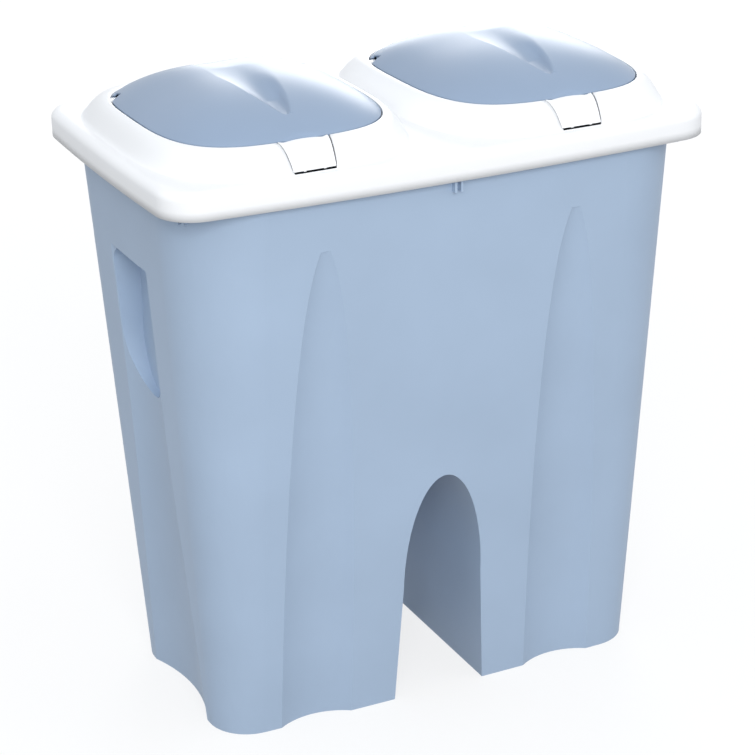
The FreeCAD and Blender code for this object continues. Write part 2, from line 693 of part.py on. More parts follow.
def catch_tongue():
    """Tongue under the flap's front edge, with a barb that the button's bar holds."""
    back = TONGUE_FRONT + TONGUE_WALL
    barb_top = RAIL_LOW_Z - BARB_GAP
    top = FLAP_EDGE_Z - FLAP_WALL / 2
    tongue = block(-TONGUE_HALF_X, TONGUE_HALF_X, TONGUE_FRONT, back, barb_top - BARB_HEIGHT, top)
    barb = block(-TONGUE_HALF_X, TONGUE_HALF_X, TONGUE_FRONT, CATCH_BAR_FRONT - BARB_GAP,
                 barb_top - BARB_HEIGHT, barb_top)
    return [tongue, barb]


# ---------------------------------------------------------------- latch

def button_pin():
    return rod_x(PIVOT_RADIUS, -CHEEK_OUT_X, CHEEK_OUT_X, PIVOT_Y, PIVOT_Z)


def make_button():
    """Press button: a plate flush with the border, knuckles on its pin, and the catch frame."""
    border = dome_form(0, 0, LID_RIM_Z - LID_WALL)
    slope = BUTTON_WALL * BORDER_SLOPE_SHARE
    deeper = dome_form(slope, slope, LID_RIM_Z - OVER)
    pieces = [latch_wedge(BUTTON_GAP, LID_RIM_Z + BUTTON_GAP / 2).common(border).cut(deeper)]
    for span in both_sides(KNUCKLE_IN_X, KNUCKLE_OUT_X):
        web = block(*span, PIVOT_Y - KNUCKLE_RADIUS, PIVOT_Y + KNUCKLE_RADIUS / 2, PIVOT_Z, FLAP_EDGE_Z)
        pieces += [rod_x(KNUCKLE_RADIUS, *span, PIVOT_Y, PIVOT_Z), web.common(border)]
    for span in both_sides(RAIL_IN_X, RAIL_OUT_X):
        rail = block(*span, DOME_FRONT_Y + BUTTON_GAP, CATCH_BAR_BACK, RAIL_LOW_Z, RAIL_TOP_Z)
        pieces.append(rail.common(border))
    pieces.append(block(-RAIL_OUT_X, RAIL_OUT_X, CATCH_BAR_FRONT, CATCH_BAR_BACK, RAIL_LOW_Z, RAIL_TOP_Z))
    bore = rod_x(PIVOT_RADIUS + PIN_CLEARANCE, -CHEEK_OUT_X, CHEEK_OUT_X, PIVOT_Y, PIVOT_Z)
    return fuse_all(pieces).cut(bore)


def button_spring():
    """Plain sleeve in place of the coil between the lid's bar and the button's plate."""
    z = CROSSBAR_LOW_Z + CROSSBAR_HEIGHT / 2
    start_y = CROSSBAR_Y - CROSSBAR_THICK / 2
    slope = BUTTON_WALL * BORDER_SLOPE_SHARE
    share = 1 - (1 - (z + COIL_RADIUS + slope - LID_RIM_Z) / BORDER_RISE) ** (1 / BORDER_CURVE)
    plate_y = DOME_FRONT_Y + slope + (DOME_FRONT - FLAP_FRONT) * share
    length = start_y - plate_y - COIL_GAP
    sleeve = Part.makeCylinder(COIL_RADIUS, length, vec(0, start_y, z), vec(0, -1, 0))
    return sleeve.cut(Part.makeCylinder(COIL_BORE, length, vec(0, start_y, z), vec(0, -1, 0)))


# ---------------------------------------------------------------- nodes

def all_nodes():
    """Every node's name and shape, each in its place."""
    nodes = {"tub": make_tub(), "divider_panel": make_divider(), "lid_frame": make_lid(lid_dome())}
    paired = {"flap": make_flap(),
              "latch_button": make_button(),
              "hinge_pins": Part.makeCompound(hinge_pins()),
              "flap_springs": Part.makeCompound(flap_springs()),
              "button_pin": button_pin(),
              "button_spring": button_spring()}
    for name, shape in paired.items():
        nodes["left_" + name] = moved_x(shape, -DOME_X)
        nodes["right_" + name] = moved_x(shape, DOME_X)
    return nodes


os.makedirs("parts", exist_ok=True)
for node_name, node_shape in all_nodes().items():
    node_shape.exportStep("parts/" + node_name + ".step")
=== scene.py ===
"""Looks of a double recycling bin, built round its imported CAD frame.

The bin is a two-legged tub with an arched tunnel, a white lift-off lid with two
domes, and in each dome a pop-up flap with a press latch.  The bin's sizes are in
millimetres here and become metres in the meshes.  The lamps' and the floor's are
in metres.
"""

import logging
import math
from dataclasses import dataclass, field
from enum import Enum

import bmesh
import bpy
from mathutils import Matrix, Vector


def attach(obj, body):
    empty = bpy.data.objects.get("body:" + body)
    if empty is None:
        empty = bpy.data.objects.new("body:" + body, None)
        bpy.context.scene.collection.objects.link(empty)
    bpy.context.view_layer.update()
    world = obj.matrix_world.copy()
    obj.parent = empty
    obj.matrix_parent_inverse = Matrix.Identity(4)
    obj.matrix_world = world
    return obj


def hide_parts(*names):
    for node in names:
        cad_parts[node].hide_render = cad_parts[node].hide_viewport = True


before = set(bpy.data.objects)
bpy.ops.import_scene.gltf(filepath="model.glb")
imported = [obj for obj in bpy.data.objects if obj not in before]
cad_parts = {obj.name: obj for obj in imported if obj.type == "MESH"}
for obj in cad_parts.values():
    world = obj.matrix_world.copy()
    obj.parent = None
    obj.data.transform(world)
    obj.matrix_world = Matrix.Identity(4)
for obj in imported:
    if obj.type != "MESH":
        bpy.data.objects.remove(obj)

MM = 0.001
LOG = logging.getLogger("recycling_bin")
Point = tuple[float, float]
Triple = tuple[float, float, float]

SHARP_DEG = 35
BLOCK_SEGMENTS = 3
ROD_SEGMENTS = 32
STEP_BACK = 0.1  # a block inside another one ends this far from its faces
TINY = 1e-9  # keeps a division clear of zero


class Side(Enum):
    """Left or right half of the bin, with its direction along X."""

    LEFT = -1
    RIGHT = 1

    @property
    def word(self) -> str:
        """Name of the side, as the nodes and bodies use it."""
        return self.name.lower()


class Smoothing(Enum):
    """How a finished mesh is shaded."""

    FLAT = "flat"
    SMOOTH = "smooth"
    BY_ANGLE = "by_angle"


# ---------------------------------------------------------------- finishes


@dataclass(frozen=True)
class MouldedPlastic:
    """Injection-moulded plastic: a body colour with slight flow marks and a fine grain."""

    name: str
    colour: Triple
    roughness: float
    roughness_swing: float = 0.05
    mottle: float = 0.03
    flow_scale: float = 9.0
    flow_detail: float = 3.0
    flow_band: Point = (0.3, 0.7)
    grain_mm: float = 0.9
    grain_detail: float = 2.0
    grain_strength: float = 0.05
    grain_height_mm: float = 0.1
    specular: float = 0.4

    def material(self) -> bpy.types.Material:
        """Builds the node material.

        Returns:
            The new material.
        """
        made = bpy.data.materials.new(self.name)
        made.use_nodes = True
        nodes = made.node_tree.nodes
        links = made.node_tree.links
        shader = nodes["Principled BSDF"]
        shader.inputs["Specular IOR Level"].default_value = self.specular
        place = nodes.new("ShaderNodeTexCoord")
        flow = nodes.new("ShaderNodeTexNoise")
        flow.inputs["Scale"].default_value = self.flow_scale
        flow.inputs["Detail"].default_value = self.flow_detail
        links.new(place.outputs["Object"], flow.inputs["Vector"])
        tones = nodes.new("ShaderNodeValToRGB")
        gains = (1 - self.mottle, 1 + self.mottle)
        for element, position, gain in zip(tones.color_ramp.elements, self.flow_band, gains):
            element.position = position
            element.color = (*[min(1.0, channel * gain) for channel in self.colour], 1.0)
        links.new(flow.outputs["Fac"], tones.inputs["Fac"])
        links.new(tones.outputs["Color"], shader.inputs["Base Color"])
        grain = nodes.new("ShaderNodeTexNoise")
        grain.inputs["Scale"].default_value = 1.0 / (self.grain_mm * MM)
        grain.inputs["Detail"].default_value = self.grain_detail
        links.new(place.outputs["Object"], grain.inputs["Vector"])
        sheen = nodes.new("ShaderNodeMapRange")
        sheen.inputs["To Min"].default_value = self.roughness - self.roughness_swing
        sheen.inputs["To Max"].default_value = self.roughness + self.roughness_swing
        links.new(grain.outputs["Fac"], sheen.inputs["Value"])
        links.new(sheen.outputs["Result"], shader.inputs["Roughness"])
        relief = nodes.new("ShaderNodeBump")
        relief.inputs["Strength"].default_value = self.grain_strength
        relief.inputs["Distance"].default_value = self.grain_height_mm * MM
        links.new(grain.outputs["Fac"], relief.inputs["Height"])
        links.new(relief.outputs["Normal"], shader.inputs["Normal"])
        return made


@dataclass(frozen=True)
class DrawnSteel:
    """Drawn steel wire or pin, with fine lines along X."""

    name: str
    colour: Triple = (0.56, 0.56, 0.58)
    roughness: float = 0.3
    smoother_by: float = 0.08
    rougher_by: float = 0.12
    line_stretch: Triple = (40.0, 2500.0, 2500.0)

    def material(self) -> bpy.types.Material:
        """Builds the node material.

        Returns:
            The new material.
        """
        made = bpy.data.materials.new(self.name)
        made.use_nodes = True
        nodes = made.node_tree.nodes
        links = made.node_tree.links
        shader = nodes["Principled BSDF"]
        shader.inputs["Metallic"].default_value = 1.0
        shader.inputs["Base Color"].default_value = (*self.colour, 1.0)
        place = nodes.new("ShaderNodeTexCoord")
        stretch = nodes.new("ShaderNodeMapping")
        stretch.inputs["Scale"].default_value = self.line_stretch
        links.new(place.outputs["Object"], stretch.inputs["Vector"])
        lines = nodes.new("ShaderNodeTexNoise")
        lines.inputs["Scale"].default_value = 1.0
        links.new(stretch.outputs["Vector"], lines.inputs["Vector"])
        sheen = nodes.new("ShaderNodeMapRange")
        sheen.inputs["To Min"].default_value = self.roughness - self.smoother_by
        sheen.inputs["To Max"].default_value = self.roughness + self.rougher_by
        links.new(lines.outputs["Fac"], sheen.inputs["Value"])
        links.new(sheen.outputs["Result"], shader.inputs["Roughness"])
        return made


@dataclass
class Finishes:
    """Every material of the bin, each made once."""

    tub: bpy.types.Material = field(init=False)
    divider: bpy.types.Material = field(init=False)
    lid: bpy.types.Material = field(init=False)
    flap: bpy.types.Material = field(init=False)
    button: bpy.types.Material = field(init=False)
    pin: bpy.types.Material = field(init=False)
    spring: bpy.types.Material = field(init=False)

    def __post_init__(self) -> None:
        """Makes the materials."""
        tub_blue = (0.395, 0.500, 0.645)
        flap_blue = (0.275, 0.358, 0.485)
        white = (0.915, 0.92, 0.93)
        self.tub = MouldedPlastic("tub_plastic", tub_blue, roughness=0.5).material()
        self.divider = MouldedPlastic("divider_plastic", tub_blue, roughness=0.5).material()
        self.lid = MouldedPlastic("lid_plastic", white, roughness=0.38, mottle=0.01).material()
        self.flap = MouldedPlastic("flap_plastic", flap_blue, roughness=0.36).material()
        self.button = MouldedPlastic("button_plastic", white, roughness=0.38, mottle=0.01).material()
        self.pin = DrawnSteel("pin_steel").material()
        self.spring = DrawnSteel("spring_steel", roughness=0.24).material()


def dress(node: str, material: bpy.types.Material) -> None:
    """Gives a CAD node its material.

    Args:
        node: name of the CAD node.
        material: the finish it gets.
    """
    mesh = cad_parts[node].data
    mesh.materials.clear()
    mesh.materials.append(material)
    LOG.info("dressed %s in %s", node, material.name)


# ---------------------------------------------------------------- studio


@dataclass(frozen=True)
class SoftLamp:
    """A square soft lamp that faces the bin, in metres and watts."""

    name: str
    place: Triple
    side: float
    watts: float
    aimed_at: Triple = (0.0, 0.0, 0.3)

    def hang(self) -> None:
        """Puts the lamp in the scene, unseen by the camera."""
        data = bpy.data.lights.new(self.name, "AREA")
        data.size = self.side
        data.energy = self.watts
        lamp = bpy.data.objects.new(self.name, data)
        lamp.location = self.place
        lamp.visible_camera = False
        aim = Vector(self.aimed_at) - Vector(self.place)
        lamp.rotation_euler = aim.to_track_quat("-Z", "Y").to_euler()
        bpy.context.scene.collection.objects.link(lamp)


@dataclass
class Studio:
    """Pale floor, soft lamps and the camera at the picture's angle."""

    azimuth_deg: float = -25.25
    elevation_deg: float = 22.32
    roll_deg: float = -1.39
    distance_mm: float = 2303.9
    target_mm: Triple = (-2.77, 0.0, 279.14)
    lens_mm: float = 115.83
    sensor_mm: float = 36.0
    floor_size: float = 20.0
    floor_roughness: float = 0.9
    floor_lit: float = 0.22
    floor_seen: float = 0.95
    floor_glow: float = 0.75
    room_colour: Triple = (0.91, 0.95, 1.0)
    room_strength: float = 0.8
    lamps: tuple[SoftLamp, ...] = (
        SoftLamp("key_lamp", (-1.1, -2.7, 1.7), 1.6, 58.0),
        SoftLamp("fill_lamp", (2.4, -1.2, 1.6), 2.0, 8.0),
        SoftLamp("rim_lamp", (1.6, 2.9, 1.3), 1.6, 30.0),
    )

    def build(self) -> None:
        """Sets up the floor, the world, the lamps and the camera."""
        self.add_camera()
        self.add_floor()
        self.add_world()
        for lamp in self.lamps:
            lamp.hang()
        bpy.context.scene.view_settings.view_transform = "Standard"

    def add_camera(self) -> None:
        """Places the camera by the angles that the picture was taken at."""
        azimuth = math.radians(self.azimuth_deg)
        elevation = math.radians(self.elevation_deg)
        roll = math.radians(self.roll_deg)
        back = Vector((math.sin(azimuth) * math.cos(elevation),
                       -math.cos(azimuth) * math.cos(elevation),
                       math.sin(elevation)))
        right = Vector((math.cos(azimuth), math.sin(azimuth), 0.0))
        up = back.cross(right)
        right, up = (right * math.cos(roll) + up * math.sin(roll),
                     up * math.cos(roll) - right * math.sin(roll))
        place = (Vector(self.target_mm) + back * self.distance_mm) * MM
        data = bpy.data.cameras.new("camera")
        data.lens = self.lens_mm
        data.sensor_width = self.sensor_mm
        camera = bpy.data.objects.new("camera", data)
        turn = Matrix((right, up, back)).transposed().to_4x4()
        camera.matrix_world = Matrix.Translation(place) @ turn
        bpy.context.scene.collection.objects.link(camera)
        bpy.context.scene.camera = camera

    def add_floor(self) -> None:
        """Lays a large floor, white to the eye and darker to the light that it throws back."""
        made = bpy.data.materials.new("floor_white")
        made.use_nodes = True
        nodes = made.node_tree.nodes
        links = made.node_tree.links
        nodes["Principled BSDF"].inputs["Roughness"].default_value = self.floor_roughness
        seen = self.seen_by_eye(made.node_tree)
        colour = nodes.new("ShaderNodeMix")
        colour.data_type = "RGBA"
        colour.inputs["A"].default_value = (*[self.floor_lit] * 3, 1.0)
        colour.inputs["B"].default_value = (*[self.floor_seen] * 3, 1.0)
        links.new(seen, colour.inputs["Factor"])
        links.new(colour.outputs["Result"], nodes["Principled BSDF"].inputs["Base Color"])
        glow = nodes.new("ShaderNodeEmission")
        blend = nodes.new("ShaderNodeMixShader")
        share = nodes.new("ShaderNodeMath")
        share.operation = "MULTIPLY"
        share.inputs[1].default_value = self.floor_glow
        links.new(seen, share.inputs[0])
        links.new(share.outputs["Value"], blend.inputs["Fac"])
        links.new(nodes["Principled BSDF"].outputs["BSDF"], blend.inputs[1])
        links.new(glow.outputs["Emission"], blend.inputs[2])
        links.new(blend.outputs["Shader"], nodes["Material Output"].inputs["Surface"])
        form = bmesh.new()
        bmesh.ops.create_grid(form, x_segments=1, y_segments=1, size=self.floor_size)
        floor = new_object("floor", form, made, Smoothing.FLAT)

    def seen_by_eye(self, tree: bpy.types.NodeTree) -> bpy.types.NodeSocket:
        """Adds nodes that give 1 where the surface is seen straight, mirrored or through glass.

        Args:
            tree: the node tree they join.

        Returns:
            The socket that holds the result.
        """
        rays = tree.nodes.new("ShaderNodeLightPath")
        total = rays.outputs["Is Camera Ray"]
        for other in ("Is Glossy Ray", "Is Transmission Ray"):
            either = tree.nodes.new("ShaderNodeMath")
            either.operation = "MAXIMUM"
            tree.links.new(total, either.inputs[0])
            tree.links.new(rays.outputs[other], either.inputs[1])
            total = either.outputs["Value"]
        return total

    def add_world(self) -> None:
        """Lights the scene evenly, and shows white behind the bin."""
        world = bpy.data.worlds.new("white_room")
        bpy.context.scene.world = world
        world.use_nodes = True
        nodes = world.node_tree.nodes
        links = world.node_tree.links
        room = nodes["Background"]
        room.inputs["Color"].default_value = (*self.room_colour, 1.0)
        room.inputs["Strength"].default_value = self.room_strength
        white = nodes.new("ShaderNodeBackground")
        white.inputs["Color"].default_value = (1.0, 1.0, 1.0, 1.0)
        blend = nodes.new("ShaderNodeMixShader")
        links.new(self.seen_by_eye(world.node_tree), blend.inputs["Fac"])
        links.new(room.outputs["Background"], blend.inputs[1])
        links.new(white.outputs["Background"], blend.inputs[2])
        links.new(blend.outputs["Shader"], nodes["World Output"].inputs["Surface"])


def new_object(name: str, form: bmesh.types.BMesh, material: bpy.types.Material,
               smoothing: Smoothing) -> bpy.types.Object:
    """Turns a finished bmesh into an object at the origin.

    Args:
        name: name of the object.
        form: the mesh, in metres and in place. It is freed.
        material: the finish.
        smoothing: how it is shaded.

    Returns:
        The new object.
    """
    mesh = bpy.data.meshes.new(name)
    form.to_mesh(mesh)
    form.free()
    mesh.materials.append(material)
    piece = bpy.data.objects.new(name, mesh)
    bpy.context.scene.collection.objects.link(piece)
    if smoothing is not Smoothing.FLAT:
        mesh.shade_smooth()
    if smoothing is Smoothing.BY_ANGLE:
        mesh.set_sharp_from_angle(angle=math.radians(SHARP_DEG))
    LOG.info("built %s with %d faces", name, len(mesh.polygons))
    return piece


# ---------------------------------------------------------------- shaping


def extrude_ring(form: bmesh.types.BMesh, ring: list[bmesh.types.BMVert],
                 places: list[Vector]) -> list[bmesh.types.BMVert]:
    """Extrudes a closed ring of vertices and puts the new ring in place.

    Args:
        form: the mesh.
        ring: the ring's vertices in order.
        places: where the new vertices go, in millimetres, in the same order.

    Returns:
        The new ring in the same order.
    """
    number = {vert: index for index, vert in enumerate(ring)}
    edges = ring_edges(form, ring)
    made = bmesh.ops.extrude_edge_only(form, edges=edges)["geom"]
    follow: dict[int, bmesh.types.BMVert] = {}
    for vert in [item for item in made if isinstance(item, bmesh.types.BMVert)]:
        for edge in vert.link_edges:
            before = edge.other_vert(vert)
            if before in number:
                follow[number[before]] = vert
    next_ring = [follow[index] for index in range(len(ring))]
    for vert, place in zip(next_ring, places):
        vert.co = place * MM
    return next_ring


def ring_edges(form: bmesh.types.BMesh, ring: list[bmesh.types.BMVert]) -> list[bmesh.types.BMEdge]:
    """Edges between neighbours of a closed ring.

    Args:
        form: the mesh.
        ring: the ring's vertices in order.

    Returns:
        The edges in order.
    """
    return [form.edges.get((a, b)) for a, b in zip(ring, ring[1:] + ring[:1])]


def first_ring(form: bmesh.types.BMesh, places: list[Vector]) -> list[bmesh.types.BMVert]:
    """Starts a shape from a circle whose vertices are put in place.

    Args:
        form: the mesh.
        places: where the vertices go, in millimetres.

    Returns:
        The ring in order.
    """
    ring = bmesh.ops.create_circle(form, segments=len(places), radius=1.0)["verts"]
    for vert, place in zip(ring, places):
        vert.co = place * MM
    return ring


def add_block(form: bmesh.types.BMesh, low: Triple, high: Triple, round_mm: float) -> None:
    """Adds a box with rounded edges.

    Args:
        form: the mesh it joins.
        low: lowest corner, in millimetres.
        high: highest corner, in millimetres.
        round_mm: width of the rounding.
    """
    verts = bmesh.ops.create_cube(form, size=1.0)["verts"]
    for vert in verts:
        vert.co = Vector([(a + b) / 2 + c * (b - a) for a, b, c in zip(low, high, vert.co)]) * MM
    edges = list({edge for vert in verts for edge in vert.link_edges})
    bmesh.ops.bevel(form, geom=edges, offset=round_mm * MM, offset_type="OFFSET", affect="EDGES",
                    segments=BLOCK_SEGMENTS, profile=0.5, material=-1)


def add_rod(form: bmesh.types.BMesh, radius: float, x_span: Point, y: float, z: float) -> None:
    """Adds a round bar along X.

    Args:
        form: the mesh it joins.
        radius: its radius, in millimetres.
        x_span: its two ends.
        y: place of its axis.
        z: height of its axis.
    """
    low, high = sorted(x_span)
    turn = Matrix.Rotation(math.pi / 2, 4, "Y")
    place = Matrix.Translation(Vector(((low + high) / 2, y, z)) * MM)
    bmesh.ops.create_cone(form, cap_ends=True, segments=ROD_SEGMENTS, radius1=radius * MM,
                          radius2=radius * MM, depth=(high - low) * MM, matrix=place @ turn)


def turn_upwards(form: bmesh.types.BMesh) -> None:
    """Makes an open skin's faces point up and outwards.

    Args:
        form: the mesh.
    """
    bmesh.ops.recalc_face_normals(form, faces=form.faces)
    highest = max(form.faces, key=lambda face: face.calc_center_median().z * abs(face.normal.z))
    if highest.normal.z < 0:
        bmesh.ops.reverse_faces(form, faces=form.faces)


def add_wall(piece: bpy.types.Object, wall_mm: float, even: bool = True) -> None:
    """Gives a skin its wall thickness, inwards.

    Args:
        piece: the object.
        wall_mm: the wall, in millimetres.
        even: keeps the wall full at bends. It is left off where a crease is sharper than the wall.
    """
    wall = piece.modifiers.new("wall", "SOLIDIFY")
    wall.thickness = wall_mm * MM
    wall.offset = -1.0
    wall.use_even_offset = even


def arc(centre: Vector, radius: float, start: float, end: float, count: int) -> list[Vector]:
    """Points along a flat arc, without its end.

    Args:
        centre: its centre.
        radius: its radius.
        start: angle of its first point.
        end: angle that it stops short of.
        count: how many points.

    Returns:
        The points in order.
    """
    angles = (start + (end - start) * k / count for k in range(count))
    return [centre + Vector((math.cos(angle), math.sin(angle))) * radius for angle in angles]


def ease(low: float, high: float, value: float) -> float:
    """Smooth step from 0 at low to 1 at high."""
    share = min(1.0, max(0.0, (value - low) / (high - low)))
    return share * share * (3 - 2 * share)


# ---------------------------------------------------------------- sizes that pieces share


@dataclass(frozen=True)
class DomePlan:
    """Plan shape and border of a dome, which the lid, flap and button all follow."""

    centre_y: float = 8.0
    foot_half_x: float = 122.5
    foot_front: float = 163.5
    foot_back: float = 146.0
    edge_half_x: float = 103.5
    edge_front: float = 137.0
    edge_back: float = 100.0
    power: float = 3.4
    rim_z: float = 545.0
    rise: float = 22.5
    curve: float = 2.1
    button_low: float = 20.4
    button_top: float = 24.2
    button_corner: float = 1.3
    button_corner_share: float = 0.09
    button_columns: int = 12
    other_columns: int = 180

    def point(self, share: float, angle: float, grow: float = 0.0) -> Vector:
        """A point of the dome's outline.

        Args:
            share: 0 at the dome's foot, 1 at the flap's edge.
            angle: direction seen from above, 0 towards the front and growing to the right.
            grow: distance that the outline is moved outwards.

        Returns:
            The point, with the dome's middle at X = 0.
        """
        across = math.sin(angle)
        along = -math.cos(angle)
        half_x = self.between(self.foot_half_x, self.edge_half_x, share) + grow
        front = self.between(self.foot_front, self.edge_front, share)
        back = self.between(self.foot_back, self.edge_back, share)
        length = (front if along < 0 else back) + grow
        norm = (abs(across) / half_x) ** self.power + (abs(along) / length) ** self.power
        reach = norm ** (-1 / self.power)
        return Vector((across * reach, self.centre_y + along * reach, self.height(share)))

    def height(self, share: float) -> float:
        """Height of the border between its foot and the flap's edge."""
        return self.rim_z + self.rise * (1 - (1 - min(1.0, max(0.0, share))) ** self.curve)

    def between(self, foot: float, edge: float, share: float) -> float:
        """A size part of the way from the foot to the flap's edge."""
        return foot + (edge - foot) * share

    def button_half(self, share: float) -> float:
        """Half width of the button's opening, with rounded lower corners."""
        half = self.between(self.button_low, self.button_top, share)
        return half - self.button_corner * (1 - ease(0.0, self.button_corner_share, share)) ** 2

    def angles(self, share: float) -> list[float]:
        """Directions of the outline's points: first over the button, then round the rest.

        Args:
            share: 0 at the dome's foot, 1 at the flap's edge.

        Returns:
            The angles in order.
        """
        front = self.between(self.foot_front, self.edge_front, share)
        corner = math.atan2(self.button_half(share), front)
        over = [corner * (2 * k / self.button_columns - 1) for k in range(self.button_columns)]
        left_over = 2 * math.pi - 2 * corner
        rest = [corner + left_over * (j / self.other_columns) for j in range(self.other_columns)]
        return over + rest

    def ring(self, share: float, middle_x: float, grow: float = 0.0, z: float | None = None) -> list[Vector]:
        """Closed ring of the dome's outline.

        Args:
            share: 0 at the dome's foot, 1 at the flap's edge.
            middle_x: where the dome's middle is.
            grow: distance that the outline is moved outwards.
            z: height, or None for the border's own.

        Returns:
            The ring's points in millimetres.
        """
        ring = []
        for angle in self.angles(share):
            place = self.point(share, angle, grow)
            ring.append(Vector((middle_x + place.x, place.y, place.z if z is None else z)))
        return ring


PLAN = DomePlan()
DOME_X = 128.0
HINGE_Y = 67.0
HINGE_Z = 563.0


# ---------------------------------------------------------------- tub


@dataclass
class Tub:
    """The tub and its divider, as the CAD part gives them."""

    finishes: Finishes

    def dress(self) -> None:
        """Gives both nodes their plastic."""
        dress("tub", self.finishes.tub)
        dress("divider_panel", self.finishes.divider)


# ---------------------------------------------------------------- lid


@dataclass
class DomedLid:
    """The white lid: skirt, flat rim, two domes with their openings, hinge ears and latch cheeks."""

    finishes: Finishes
    wall: float = 2.4
    half_x: float = 264.9
    half_y: float = 170.7
    corner: float = 36.0
    bow_x: float = 4.6
    bow_y: float = 9.6
    low_z: float = 520.8
    edge_round: float = 8.0
    round_steps: int = 8
    rim_step: float = 0.15
    side_points: int = 14
    corner_points: int = 14
    front_points: int = 20
    foot_step: float = 0.3
    foot_fillet: float = 2.4
    fillet_steps: int = 5
    fillet_lift: float = 0.55
    border_steps: int = 22
    border_first: float = 0.9
    flap_gap: float = 1.9
    opening_round: float = 0.7
    opening_steps: int = 3
    seat_z: float = 562.0
    seat_width: float = 6.0
    seat_lip: float = 1.5
    seat_end_y: float = 48.0
    ear_x: Point = (92.3, 103.0)
    ear_z: Point = (557.5, 567.4)
    ear_half_y: float = 4.5
    ear_round: float = 0.7
    cheek_x: Point = (25.2, 27.6)
    cheek_y: Point = (-138.5, -130.5)
    cheek_z: Point = (551.6, 564.0)
    cheek_round: float = 0.5
    bar_y: Point = (-135.4, -133.0)
    bar_top: float = 555.6
    bar_short: float = 0.3
    bar_round: float = 0.4

    def build(self) -> None:
        """Builds the lid in place of its CAD node."""
        form = bmesh.new()
        rims = ring_edges(form, self.add_skirt(form))
        for side in Side:
            rims += ring_edges(form, self.add_dome(form, side.value * DOME_X))
        bmesh.ops.triangle_fill(form, use_beauty=True, edges=rims, normal=(0, 0, 1))
        turn_upwards(form)
        lid = new_object("lid_shell", form, self.finishes.lid, Smoothing.BY_ANGLE)
        add_wall(lid, self.wall)
        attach(lid, "lid")
        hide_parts("lid_frame")
        self.add_ears()
        self.add_cheeks()

    def add_skirt(self, form: bmesh.types.BMesh) -> list[bmesh.types.BMVert]:
        """Adds the skirt and its rounded upper edge.

        Args:
            form: the lid's mesh.

        Returns:
            The ring where the rounding meets the flat rim.
        """
        ring = first_ring(form, self.outline(0.0, self.low_z))
        centre_z = PLAN.rim_z - self.edge_round
        ring = extrude_ring(form, ring, self.outline(0.0, (self.low_z + centre_z) / 2))
        for step in range(self.round_steps + 1):
            angle = math.pi / 2 * step / self.round_steps
            inset = self.edge_round * (1 - math.cos(angle))
            z = centre_z + self.edge_round * math.sin(angle)
            ring = extrude_ring(form, ring, self.outline(inset, z))
        return extrude_ring(form, ring, self.outline(self.edge_round + self.rim_step, PLAN.rim_z))

    def outline(self, inset: float, z: float) -> list[Vector]:
        """The lid's plan shape: a bowed rectangle with round corners.

        Args:
            inset: distance that it is moved inwards.
            z: its height.

        Returns:
            The points in millimetres, in order.
        """
        half_x = self.half_x - inset
        half_y = self.half_y - inset
        corner = self.corner - inset
        radius_y = (half_x ** 2 + self.bow_y ** 2) / (2 * self.bow_y)
        radius_x = (half_y ** 2 + self.bow_x ** 2) / (2 * self.bow_x)
        low = Vector((0.0, half_y - radius_y))
        left = Vector((half_x - radius_x, 0.0))
        span = (left - low).length
        step = (left - low) / span
        along = (span ** 2 + (radius_y - corner) ** 2 - (radius_x - corner) ** 2) / (2 * span)
        off = math.sqrt((radius_y - corner) ** 2 - along ** 2)
        across = Vector((-step.y, step.x))
        middle = max((low + step * along + across * sign * off for sign in (1, -1)), key=sum)
        side_end = math.atan2(middle.y - left.y, middle.x - left.x)
        front_end = math.atan2(middle.y - low.y, middle.x - low.x)
        quarter = arc(left, radius_x, 0.0, side_end, self.side_points)
        quarter += arc(middle, corner, side_end, front_end, self.corner_points)
        quarter += arc(low, radius_y, front_end, math.pi / 2, self.front_points)
        loop = [(p.x, p.y) for p in quarter] + [(0.0, half_y)]
        loop += [(-x, y) for x, y in reversed(loop[1:-1])] + [(-half_x, 0.0)]
        loop += [(x, -y) for x, y in reversed(loop[1:-1])]
        return [Vector((x, y, z)) for x, y in loop]

    def add_dome(self, form: bmesh.types.BMesh, middle_x: float) -> list[bmesh.types.BMVert]:
        """Adds a dome's border, its opening and the seat under the flap.

        Args:
            form: the lid's mesh.
            middle_x: where the dome's middle is.

        Returns:
            The ring where its foot meets the flat rim.
        """
        fillet = self.foot_fillet
        outer = first_ring(form, PLAN.ring(0.0, middle_x, fillet + self.foot_step, PLAN.rim_z))
        ring = outer
        rings = [outer]
        for step in range(self.fillet_steps):
            share = step / self.fillet_steps
            grow = fillet * (1 - share)
            lift = fillet * self.fillet_lift * share ** 2
            ring = extrude_ring(form, ring, PLAN.ring(0.0, middle_x, grow, PLAN.rim_z + lift))
            rings.append(ring)
        start = len(rings)
        for step in range(self.border_steps + 1):
            share = (step + self.border_first) / (self.border_steps + self.border_first)
            lift = Vector((0, 0, fillet * self.fillet_lift * (1 - share) ** 3))
            places = [place + lift for place in PLAN.ring(share, middle_x, self.flap_gap * share)]
            ring = extrude_ring(form, ring, places)
            rings.append(ring)
        radius = self.opening_round
        for step in range(1, self.opening_steps + 1):
            angle = math.pi / 2 * step / self.opening_steps
            grow = self.flap_gap - radius * math.sin(angle)
            z = PLAN.height(1.0) - radius * (1 - math.cos(angle))
            ring = extrude_ring(form, ring, PLAN.ring(1.0, middle_x, grow, z))
            rings.append(ring)
        inside = self.flap_gap - radius
        under = self.seat_z - self.seat_lip
        for grow, z in ((inside, self.seat_z), (-self.seat_width, self.seat_z), (-self.seat_width, under)):
            ledge = PLAN.ring(1.0, middle_x, grow, z)
            swing = PLAN.ring(1.0, middle_x, inside, z)
            places = [near if near.y < self.seat_end_y else far for near, far in zip(ledge, swing)]
            ring = extrude_ring(form, ring, places)
            rings.append(ring)
        self.open_for_button(form, rings[start - 1:])
        return outer

